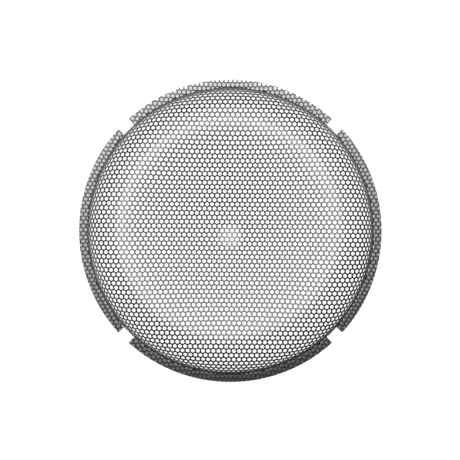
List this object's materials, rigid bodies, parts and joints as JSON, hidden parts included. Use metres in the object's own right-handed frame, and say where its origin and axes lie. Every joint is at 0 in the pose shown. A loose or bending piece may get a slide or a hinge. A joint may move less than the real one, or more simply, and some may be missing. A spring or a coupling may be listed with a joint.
{
  "type": "domed speaker grille insert",
  "caption": "Round domed speaker grille insert pressed from perforated steel sheet, with a narrow flat flange notched into tabs.",
  "frame": {"origin": "on the grille's axis, in the plane of the flange's underside", "axes": "+Z out along the axis through the top of the dome; +X to the right and +Y up in the front view; the flange rests on Z = 0"},
  "size_m": [0.1512, 0.1512, 0.0238],
  "materials": {
    "painted_mesh": "semi-gloss charcoal paint"
  },
  "bodies": {
    "root": {"crown_mesh": "painted_mesh", "shoulder_mesh": "painted_mesh", "side_wall_mesh": "painted_mesh", "flange_tab_right": "painted_mesh", "flange_tab_back": "painted_mesh", "flange_tab_left": "painted_mesh", "flange_tab_front": "painted_mesh"}
  },
  "joints": []
}
